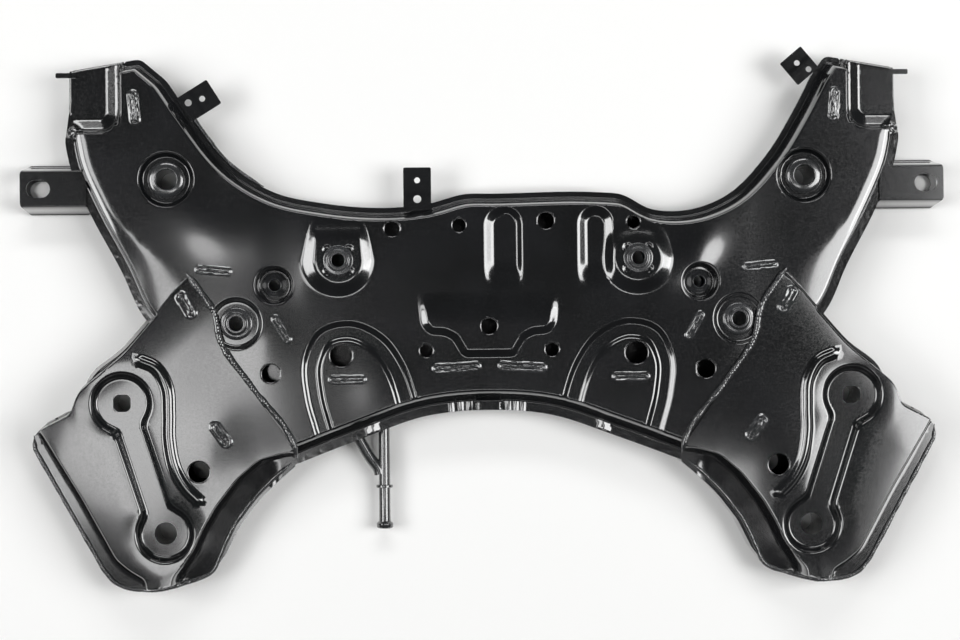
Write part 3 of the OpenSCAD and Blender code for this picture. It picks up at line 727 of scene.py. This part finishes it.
class SubframeSizes(bpy.types.PropertyGroup):
    """Heights and depths of the pressings that a user would change."""

    shell_thickness: size_in_mm("Shell thickness", "Sheet of the upper shell", 2.5)
    wing_thickness: size_in_mm("Wing thickness", "Sheet of the wing plates", 3)
    shell_top: size_in_mm("Shell top", "Height of the flat top of the main member", 62)
    wing_top: size_in_mm("Wing top", "Height of the wing plates", 65)
    seat_drop: size_in_mm("Seat drop", "Step down to the seats at the horn tips", 18)
    horn_sag: size_in_mm("Horn sag", "Fall of the horns towards their outer edge", 2.2)
    horn_fall: size_in_mm("Horn fall", "Drop of the horns below the middle", 1.6)
    trough_depth: size_in_mm("Trough depth", "Depth of the troughs beside the rack", 4.4)
    groove_depth: size_in_mm("Groove depth", "Depth of the arched grooves", 2.9)
    pad_rise: size_in_mm("Middle pad rise", "Rise of the middle pad at its rear edge", 3.2)
    boss_rise: size_in_mm("Rack boss rise", "Rise of the bosses under the rack nuts", 4.8)
    pad_depth: size_in_mm("Wing recess depth", "Depth of the joined pads of the wings", 7)
    bead_rise: size_in_mm("Wing bead rise", "Rise of the curved bead on the wings", 3.0)


class SubframeColours(bpy.types.PropertyGroup):
    """Colours of the finishes, as sRGB hex."""

    paint: hex_colour("Paint", "Dip paint on flat sheet", "#0d0e0f")
    bloom: hex_colour("Bloom", "Grey bloom of the paint", "#17181a")
    fitting: hex_colour("Fittings", "Paint on nuts and sleeves", "#222324")
    worn: hex_colour("Thin paint", "Thin paint on fittings and welds", "#343537")
    weld: hex_colour("Welds", "Paint on weld beads", "#262728")
    floor: hex_colour("Floor", "Studio floor", "#f2f2f1")


class UpperShell(bpy.types.Operator):
    """Upper shell and horn seats: one height over the plan, cut along the seats' step lines"""

    bl_idname = "subframe.upper_shell"
    bl_label = "Upper shell and horn seats"

    def execute(self, context):
        s = context.scene.subframe_sizes
        edge, seat = seat_split(MAIN_EDGE)
        holes = [circle(*h, 1.1) for h in TOOL_HOLES]
        rows = [beside(MAIN_EDGE, np.r_[1, 1.7, 2.4, 3.2, 5:15, 15.5, 18, 22, 27, 33], True)]
        for (x, y), r, radii in BORES:
            holes += [circle(x, y, r), circle(-x, y, r)]
            rows.append(on_both(rings(x, y, radii)))
        rows += [rings(x, y, (r + 0.6, r + 1.2, r + 2.2), 1.2) for x, y, r in TOOL_HOLES]
        for tx, end, half_w in TROUGHS:
            loop = capsule_loop(tx, end - TROUGH_LENGTH / 2, TROUGH_LENGTH, 2 * half_w, 90, 2)
            rows.append(beside(loop, np.r_[-2, 0:5, 6, 8:14, 15], True))
        rows.append(on_both(beside(GROOVE_LINE, np.r_[-14, -12:-2, 0, 3:13, 14])))
        rows.append(beside(PAD_EDGE, np.r_[-7, -5:6, 7], True))
        land = np.column_stack([np.zeros(26), np.linspace(RACK[1], 100, 26)])
        rows += [land - (RACK[0] + d, 0) for d in np.r_[-22:-18, 19:23]]
        x, y = SEAT_CORNER
        step_line = even([(x, 262), (x, y + SEAT_ROUND), (x - SEAT_ROUND, y), (-428, y)], STEP)
        rows.append(on_both(beside(rounded(step_line, STEP), np.arange(-10, 11, 1.25))))
        shell = sheet(shell_height, edge, holes, rows, s.shell_thickness / MM, 5.5)
        piece("upper_shell_pressing", shell, "dip_paint", "upper_shell")
        left = sheet(shell_height, seat, [], [rows[0], rows[-1]], s.shell_thickness / MM, 4, 0.45)
        pair("horn_seat", joined([left, self.tab()]), "dip_paint", "horn_bracket")
        pair("horn_seat_weld", self.lump(), "painted_welds")
        return {"FINISHED"}

    def lump(self):
        """The run of weld in the seat's outer corner: a ball flattened to a pad, with a rough skin."""
        levels, n = 22, 36
        up = np.radians(np.linspace(-88, 88, levels))[:, None]
        turn = turns(n)[None]
        rough = 1 + 0.1 * np.stack([noise(n, 9, 300 + k) for k in range(levels)])
        x, y, z = -411, 188, 37
        G = np.stack([x + 9.5 * rough * np.cos(up) * np.cos(turn), y + 8 * rough * np.cos(up) * np.sin(turn),
                      z + 8 * rough * np.sin(up) * np.ones_like(turn)], axis=-1)
        return capped(G, inside_out=True)

    def tab(self):
        """The small tab at the horn tip: a flat bar with a round end, level with the seat's lip."""
        top, gauge = 44.0, 3
        loop = rounded(even([(-430, 243), (-410, 243), (-410, 248), (-430, 248)], 1, True), 2)
        return sheet(lambda P: np.full(len(P), top), loop, [], [loop[:1]], gauge, 3)


class WingPlates(bpy.types.Operator):
    """Wing plates: flange, wall, raised middle, joined bolt pads and curved bead"""

    bl_idname = "subframe.wing_plates"
    bl_label = "Wing plates"

    def execute(self, context):
        s = context.scene.subframe_sizes
        a = turns(40)
        square = FRONT_HOLE * (np.abs(np.cos(a)) ** 5 + np.abs(np.sin(a)) ** 5) ** -0.2
        front = np.column_stack([FRONT[0] + square * np.cos(a), FRONT[1] + square * np.sin(a)])
        holes = [front, circle(*REAR, REAR_HOLE, 1.2), circle(*WING_HOLE, 1.1)]
        rows = [beside(WING_EDGE, (0.9, 1.5, 2.1, 2.7, 3.4, 5, 8), True),
                beside(CROWN_EDGE, np.r_[-19:-9:3, -8:1, 1.5, 4, 8, 13], True),
                rings(*FRONT, np.r_[12, 18, 22, 23.5:33, 34, 37]),
                rings(*REAR, np.r_[14, 18, 21:32, 33, 36]),
                beside(even([FRONT, REAR], 2), np.outer(np.r_[0, 4, 7, 9:17, 17.5, 19, 22], (-1, 1)).ravel()),
                beside(BEAD_LINE, np.r_[-9, -7.5, -6.5:7:1, 7.5, 9]),
                rings(*WING_HOLE[:2], (11.1, 11.7, 12.7), 1.2)]
        left = sheet(wing_height, WING_EDGE, holes, rows, s.wing_thickness / MM, 5, 0.45)
        pair("wing_plate", left, "dip_paint", "wing_plate")
        return {"FINISHED"}


class SideBrackets(bpy.types.Operator):
    """Side brackets: a folded channel with a bolt slot through its top and bottom"""

    bl_idname = "subframe.side_brackets"
    bl_label = "Side brackets"

    def execute(self, context):
        nose, root, middle, half = -468, -402, 133, 25
        web_top, foot_top, gauge = 35.5, 6.5, 3
        loop = rounded(even([(nose + 6, middle - half), (root, middle - half), (root, middle + half),
                             (nose + 6, middle + half), (nose, middle + half - 9), (nose, middle - half + 9)],
                            1.5, True), 3)
        slot = capsule_loop(nose + 18, middle, 24, 18, 0)
        n = 34
        lines = np.vstack([np.column_stack([np.linspace(nose, root, n), np.full(n, middle + d)])
                           for d in np.r_[-24:-15, -12, 12, 16:25]])

        def folded(P):
            """Flat top whose two long sides fold down."""
            return web_top - (web_top - foot_top) * ramp((np.abs(P[:, 1] - middle) - 17) / 8, 0.45)

        web = sheet(folded, loop, [slot], [lines], gauge, 4)
        foot = sheet(lambda P: np.full(len(P), foot_top), loop, [slot], [lines[:n]], gauge, 6)
        pair("side_bracket", joined([web, foot]), "dip_paint", "side_bracket")
        return {"FINISHED"}


class ClipBrackets(bpy.types.Operator):
    """Clip brackets on the top flange and the small plate on the arch flange"""

    bl_idname = "subframe.clip_brackets"
    bl_label = "Clip brackets"

    def execute(self, context):
        half, bore_r, top, gauge = 14, 3, 34.5, 2
        kick_at, kick_run, kick_drop = 13, 5, 0.4
        # Place and turn of the root, length, place of the clip hole along it, relief hole.
        for name, (x, y), turn, length, hole, relief, cad in (
                ("clip_bracket_left", (-304, 211), -58, 36, 22, (-4, 8, 3.5), "left_clip_bracket"),
                ("clip_bracket_right", (330, 242), 40, 28.72, 18, (5, 5.5, 3), "right_clip_bracket"),
                ("clip_bracket_centre", (-70, 109), 0, 43, 30, (0, 11, 4), "centre_clip_bracket")):
            loop = rounded(even([(-half, 0), (half, 0), (half, length), (-half, length)], 1.2, True), 2.4)
            spin = turning(turn)
            bore = circle(0, hole, bore_r, 0.8) @ spin + (x, y)
            holes = [bore, circle(*relief, 0.8) @ spin + (x, y)]
            line = even([(1 - half, kick_at), (half - 1, kick_at)], 2)
            rows = [beside(line, np.arange(0, 7, 0.8)) @ spin + (x, y), rings(*bore.mean(0), (4, 5.5), 1.2)]

            def flat(P, at=(x, y), ahead=spin[1]):
                """A flat tab with a slight kick down where it leaves the flange."""
                return top - kick_drop * ramp(((P - at) @ ahead - kick_at) / kick_run, 0.5)

            piece(name, sheet(flat, loop @ spin + (x, y), holes, rows, gauge, 4), "dip_paint", cad)
        low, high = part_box("flange_clip")
        x, y0, y1 = high.x / MM, low.y / MM, high.y / MM
        loop = rounded(even([(-x, y0), (x, y0), (x, y1), (-x, y1)], 0.8, True), 2.4)
        top, droop, gauge = 35.5, 0.8, 3

        def drooping(P):
            """A flat plate that droops at both ends."""
            return top - droop * np.clip((np.abs(P[:, 0]) / x) ** 6, 0, 1)

        piece("arch_flange_plate", sheet(drooping, loop, [], [loop[:1]], gauge, 1.5), "dip_paint", "flange_clip")
        return {"FINISHED"}


class Fittings(bpy.types.Operator):
    """Sleeves and weld nuts: closed profiles turned round their bolt axes"""

    bl_idname = "subframe.fittings"
    bl_label = "Sleeves and nuts"

    def execute(self, context):
        for kind, ((x, y), profile) in FITTINGS.items():
            outline = eased(profile[::-1])
            for side, sign in (("left", -1), ("right", 1)):
                piece(kind + "_" + side, turned(outline, sign * x, y), "painted_fittings", side + "_" + kind)
        return {"FINISHED"}


class Hanger(bpy.types.Operator):
    """Hanger rod with collar and mushroom end, and its stay"""

    bl_idname = "subframe.hanger"
    bl_label = "Hanger"

    def execute(self, context):
        bar, collar = 5.75, 8.5
        ring = ring_of(28)
        low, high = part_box("hanger_rod")
        y0, y1 = low.y / MM, high.y / MM
        x, z = (low.x + high.x) / 2 / MM, (low.z + high.z) / 2 / MM
        # Along the rod and its radius there: bar, collar, bar, mushroom end.
        stations = [(y1, bar), (-169.4, bar), (-169.6, 8), (-170, collar), (-172, collar), (-172.5, 8), (-172.7, bar),
                    (-205, bar), (-207, 6.2), (-208, 7.6), (-209, collar), (-212.4, collar), (-213.4, 7.8), (y0, 6.4)]
        path = np.array([(x, y, z) for y, _ in stations])
        radii = np.array([[r] for _, r in stations])
        piece("hanger_rod_bar", swept(path, ring, radii), "painted_fittings", "hanger_rod")
        low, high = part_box("hanger_stay")
        start = np.array([low.x / MM + 5.2, high.y / MM - 2.6, z])
        end = np.array([x - 4.6, low.y / MM + 8.6, z])
        bend = spline([start, start * 0.35 + end * 0.65, end - (1.0, -4, 0), end], 2)
        piece("hanger_stay_bar", swept(bend, ring, bar), "painted_fittings", "hanger_stay")
        return {"FINISHED"}


class Welds(bpy.types.Operator):
    """Weld beads along the laps and outer edges of the wings, and the oval plug welds"""

    bl_idname = "subframe.welds"
    bl_label = "Welds"

    def bead(self, path, radius, seed):
        """A rough round bead: the radius swells with each ripple of the puddle and wanders at random."""
        p = even(path, 0.9)
        n = len(p)
        run = np.arange(n)[:, None]
        size = radius * (1 + 0.1 * np.abs(np.sin(run * 0.9)) + 0.16 * noise(n, max(4, n // 9), seed, False)[:, None])
        angle = np.stack([noise(12, 12, seed + k % 97) for k in range(n)])
        size = size * (1 + 0.07 * angle) * (0.25 + 0.75 * ramp(np.minimum(run, n - 1 - run) / 14, 0.5))
        return swept(p, ring_of(12), size)

    def plug(self, x, y, length, width, turn, height, seed):
        """An oval plug weld: rings that shrink to the middle line; a raised rough bead in a groove with a rim."""
        around = capsule_loop(0, 0, length, width, 0, 0.9)
        half = (length - width) / 2
        core = np.column_stack([np.clip(around[:, 0], -half, half), np.zeros(len(around))])
        share = np.array([1.0, 1.0, 0.9, 0.8, 0.7, 0.6, 0.5, 0.42, 0.36, 0.3, 0.22, 0.14, 0.06, 0.0])
        lift = np.array([-1.4, 0.0, 0.22, 0.45, 0.62, 0.5, 0.27, 0.08, 0.0, 0.02, 0.17, 0.34, 0.45, 0.45]) * width / 10
        n = len(around)
        rough = np.stack([noise(n, max(5, n // 6), seed + k) for k in range(len(share))])
        high = lift[:, None] + rough * (0.05 * width - 0.36) * (share < 0.97)[:, None] * (1.4 - share[:, None])
        flat = (core[None] + (around - core)[None] * share[:, None, None]) @ turning(turn) + (x, y)
        high += height(flat.reshape(-1, 2)).reshape(high.shape)
        return capped(np.concatenate([flat, high[..., None]], axis=2), 1, True)

    def execute(self, context):
        seam_z, seam_r, edge_r, flange_r = 63.2, 3.0, 2.2, 1.9
        lap = beside(LAP_LINE, (-1.6,))
        lap = np.column_stack([lap, np.full(len(lap), seam_z)])
        # The edge weld lies on the outer edge of the wing, and further in along the arch.
        toe = even(np.vstack([WING_SHOULDER[1:], spline(WING_TOE), spline(WING_ARCH)]), 2)
        inward = 6 * ramp((toe[:, 0] + 285) / 25, 0.5)[:, None] - 0.6
        toe = toe + (beside(toe, (1,)) - toe) * inward
        toe = np.column_stack([toe, wing_height(toe) - 0.3])
        for side, seed, sign in (("left", 3, 1), ("right", 11, -1)):
            for kind, path, radius, draw in (("seam_weld", lap, seam_r, seed), ("edge_weld", toe, edge_r, seed + 5)):
                form = self.bead(path * (sign, 1, 1), radius, draw)
                piece(kind + "_" + side + "_bead", form, "painted_welds", side + "_" + kind)
        # A run of weld on the left part of the front flange.
        flange = beside(spline(TOP_EDGE)[-62:-10], (-0.9,))
        flange = np.column_stack([flange, np.full(len(flange), SHELL_FLANGE - 0.6)])
        piece("flange_weld_bead", self.bead(flange, flange_r, 31), "painted_welds")

        def on_wing(P):
            """Height of the wing plate on the side where the points lie."""
            return wing_height(P * (-np.sign(P[0, 0]), 1))

        forms = []
        for k, (x, y, length, width, turn) in enumerate(PLUGS):
            height = shell_height if k < len(PLUGS) - 2 else on_wing
            for sign in (1, -1):
                forms.append(self.plug(x * sign, y, length, width, turn * sign, height, 40 * k + 7 * sign + 20))
        piece("plug_weld_beads", joined(forms), "painted_welds", "plug_welds")
        return {"FINISHED"}


class LowerPressings(bpy.types.Operator):
    """Dip paint on the pressings and spacers that the CAD part already shapes"""

    bl_idname = "subframe.lower_pressings"
    bl_label = "Lower pressings"

    def execute(self, context):
        for slot, names in (("dip_paint", ("lower_shell", "left_wing_pan", "right_wing_pan")),
                            ("painted_fittings", ("left_front_sleeve", "right_front_sleeve", "left_rear_sleeve",
                                                  "right_rear_sleeve"))):
            for name in names:
                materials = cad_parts[name].data.materials
                materials.clear()
                materials.append(finish(slot))
        return {"FINISHED"}


class Stage(bpy.types.Operator):
    """Pale floor, studio softboxes and the camera above the part"""

    bl_idname = "subframe.stage"
    bl_label = "Stage"

    def execute(self, context):
        scene = context.scene
        scene.view_settings.view_transform = "Standard"
        self.floor(scene)
        self.world(scene)
        # Softboxes: place, the place it faces, width, length, brightness against white paper.
        boxes = (("left_box", (-0.84, -0.31, 4.0), (-0.84, -0.31, 0), 0.86, 0.6, 4.6),
                 ("left_far_box", (-1.95, 0.4, 3.9), (-0.6, 0.4, 0), 1.2, 0.9, 5.0),
                 ("right_far_box", (2.2, 0.0, 3.9), (0.6, 0.0, 0), 2.0, 1.3, 6.5),
                 ("left_wall", (-2.5, 0.0, 2.4), (0, 0, 0.06), 1.9, 1.25, 7.0),
                 ("right_wall", (2.5, 0.0, 2.4), (0, 0, 0.06), 1.4, 1.25, 8.0),
                 ("rear_strip", (0.1, -0.78, 4.0), (0.1, -0.78, 0), 1.2, 0.34, 5.0),
                 ("front_strip", (0.0, 3.0, 2.6), (0, 0, 0.06), 2.8, 0.65, 7.0))
        for name, place, target, width, length, level in boxes:
            lamp = bpy.data.lights.new(name, "AREA")
            lamp.shape, lamp.size, lamp.size_y = "RECTANGLE", width, length
            lamp.energy = level * math.pi * width * length
            box = bpy.data.objects.new(name, lamp)
            box.visible_camera = False
            aim = np.subtract(target, place).astype(float)
            back = -aim / np.linalg.norm(aim)
            across = np.cross((0, 1, 0) if abs(back[2]) > 0.95 else (0, 0, 1), back)
            across /= np.linalg.norm(across)
            box.matrix_world = standing(np.column_stack([across, np.cross(back, across), back]), place)
            scene.collection.objects.link(box)
        self.camera(scene)
        return {"FINISHED"}

    def floor(self, scene):
        """A plain pale floor under the part."""
        mesh = bpy.data.meshes.new("studio_floor")
        reach = 9
        corners = [(-reach, -reach, 0), (reach, -reach, 0), (reach, reach, 0), (-reach, reach, 0)]
        mesh.from_pydata(corners, [], [(0, 1, 2, 3)])
        # Matt white paper: no gloss, so that only the part's soft shadow shows on it.
        paper = bpy.data.materials.new("matt_floor_paper")
        tree = empty_tree(paper)
        matt = node(tree, "ShaderNodeBsdfDiffuse", {"Color": linear(scene.subframe_colours.floor)})
        node(tree, "ShaderNodeOutputMaterial", {"Surface": matt.outputs["BSDF"]})
        mesh.materials.append(paper)
        floor = bpy.data.objects.new("studio_floor", mesh)
        scene.collection.objects.link(floor)

    def world(self, scene):
        """A dim room: white near the horizon, dark overhead."""
        world = bpy.data.worlds.new("studio_room")
        scene.world = world
        tree = empty_tree(world)
        ray = node(tree, "ShaderNodeTexCoord").outputs["Generated"]
        up = node(tree, "ShaderNodeSeparateXYZ", {"Vector": ray}).outputs["Z"]
        tone = blend(tree, up, (0.03, (0.9, 0.9, 0.9, 1)), (0.16, (0.036, 0.036, 0.036, 1)))
        sky = node(tree, "ShaderNodeBackground", {"Color": tone})
        node(tree, "ShaderNodeOutputWorld", {"Surface": sky.outputs["Background"]})

    def camera(self, scene):
        """The photograph's camera: 2.2 m above the top of the part, turned 2.8 degrees about Y and 0.6 about Z."""
        lens = bpy.data.cameras.new("camera")
        lens.sensor_width = 36
        lens.lens = 82.5
        lens.shift_x = -9.05 / 960
        turn = Matrix.Rotation(math.radians(0.6006), 3, "Z") @ Matrix.Rotation(math.radians(2.817), 3, "Y")
        axes = np.array(turn).T
        distance, target = 2.2, (0, -0.003, 0.062)
        place = axes @ (0, 0, distance) + target
        cam = bpy.data.objects.new("camera", lens)
        cam.matrix_world = standing(axes, place)
        scene.collection.objects.link(cam)
        scene.camera = cam


class SubframePanel(bpy.types.Panel):
    """Lists the subframe's operators and values in the 3D view's sidebar"""

    bl_idname = "VIEW3D_PT_subframe"
    bl_label = "Front subframe"
    bl_space_type = "VIEW_3D"
    bl_region_type = "UI"
    bl_category = "Subframe"

    def draw(self, context):
        for group in (context.scene.subframe_sizes, context.scene.subframe_colours):
            for name in type(group).__annotations__:
                self.layout.prop(group, name)
        for operator in OPERATORS:
            self.layout.operator(operator.bl_idname)


OPERATORS = (UpperShell, WingPlates, SideBrackets, ClipBrackets, Fittings, Hanger, Welds, LowerPressings, Stage)
CLASSES = (SubframeSizes, SubframeColours, *OPERATORS, SubframePanel)


def register():
    for cls in CLASSES:
        bpy.utils.register_class(cls)
    bpy.types.Scene.subframe_sizes = bpy.props.PointerProperty(type=SubframeSizes)
    bpy.types.Scene.subframe_colours = bpy.props.PointerProperty(type=SubframeColours)


def unregister():
    del bpy.types.Scene.subframe_colours
    del bpy.types.Scene.subframe_sizes
    for cls in reversed(CLASSES):
        bpy.utils.unregister_class(cls)


def main():
    register()
    for operator in OPERATORS:
        group, name = operator.bl_idname.split(".")
        getattr(getattr(bpy.ops, group), name)()


if __name__ == "__main__":
    main()
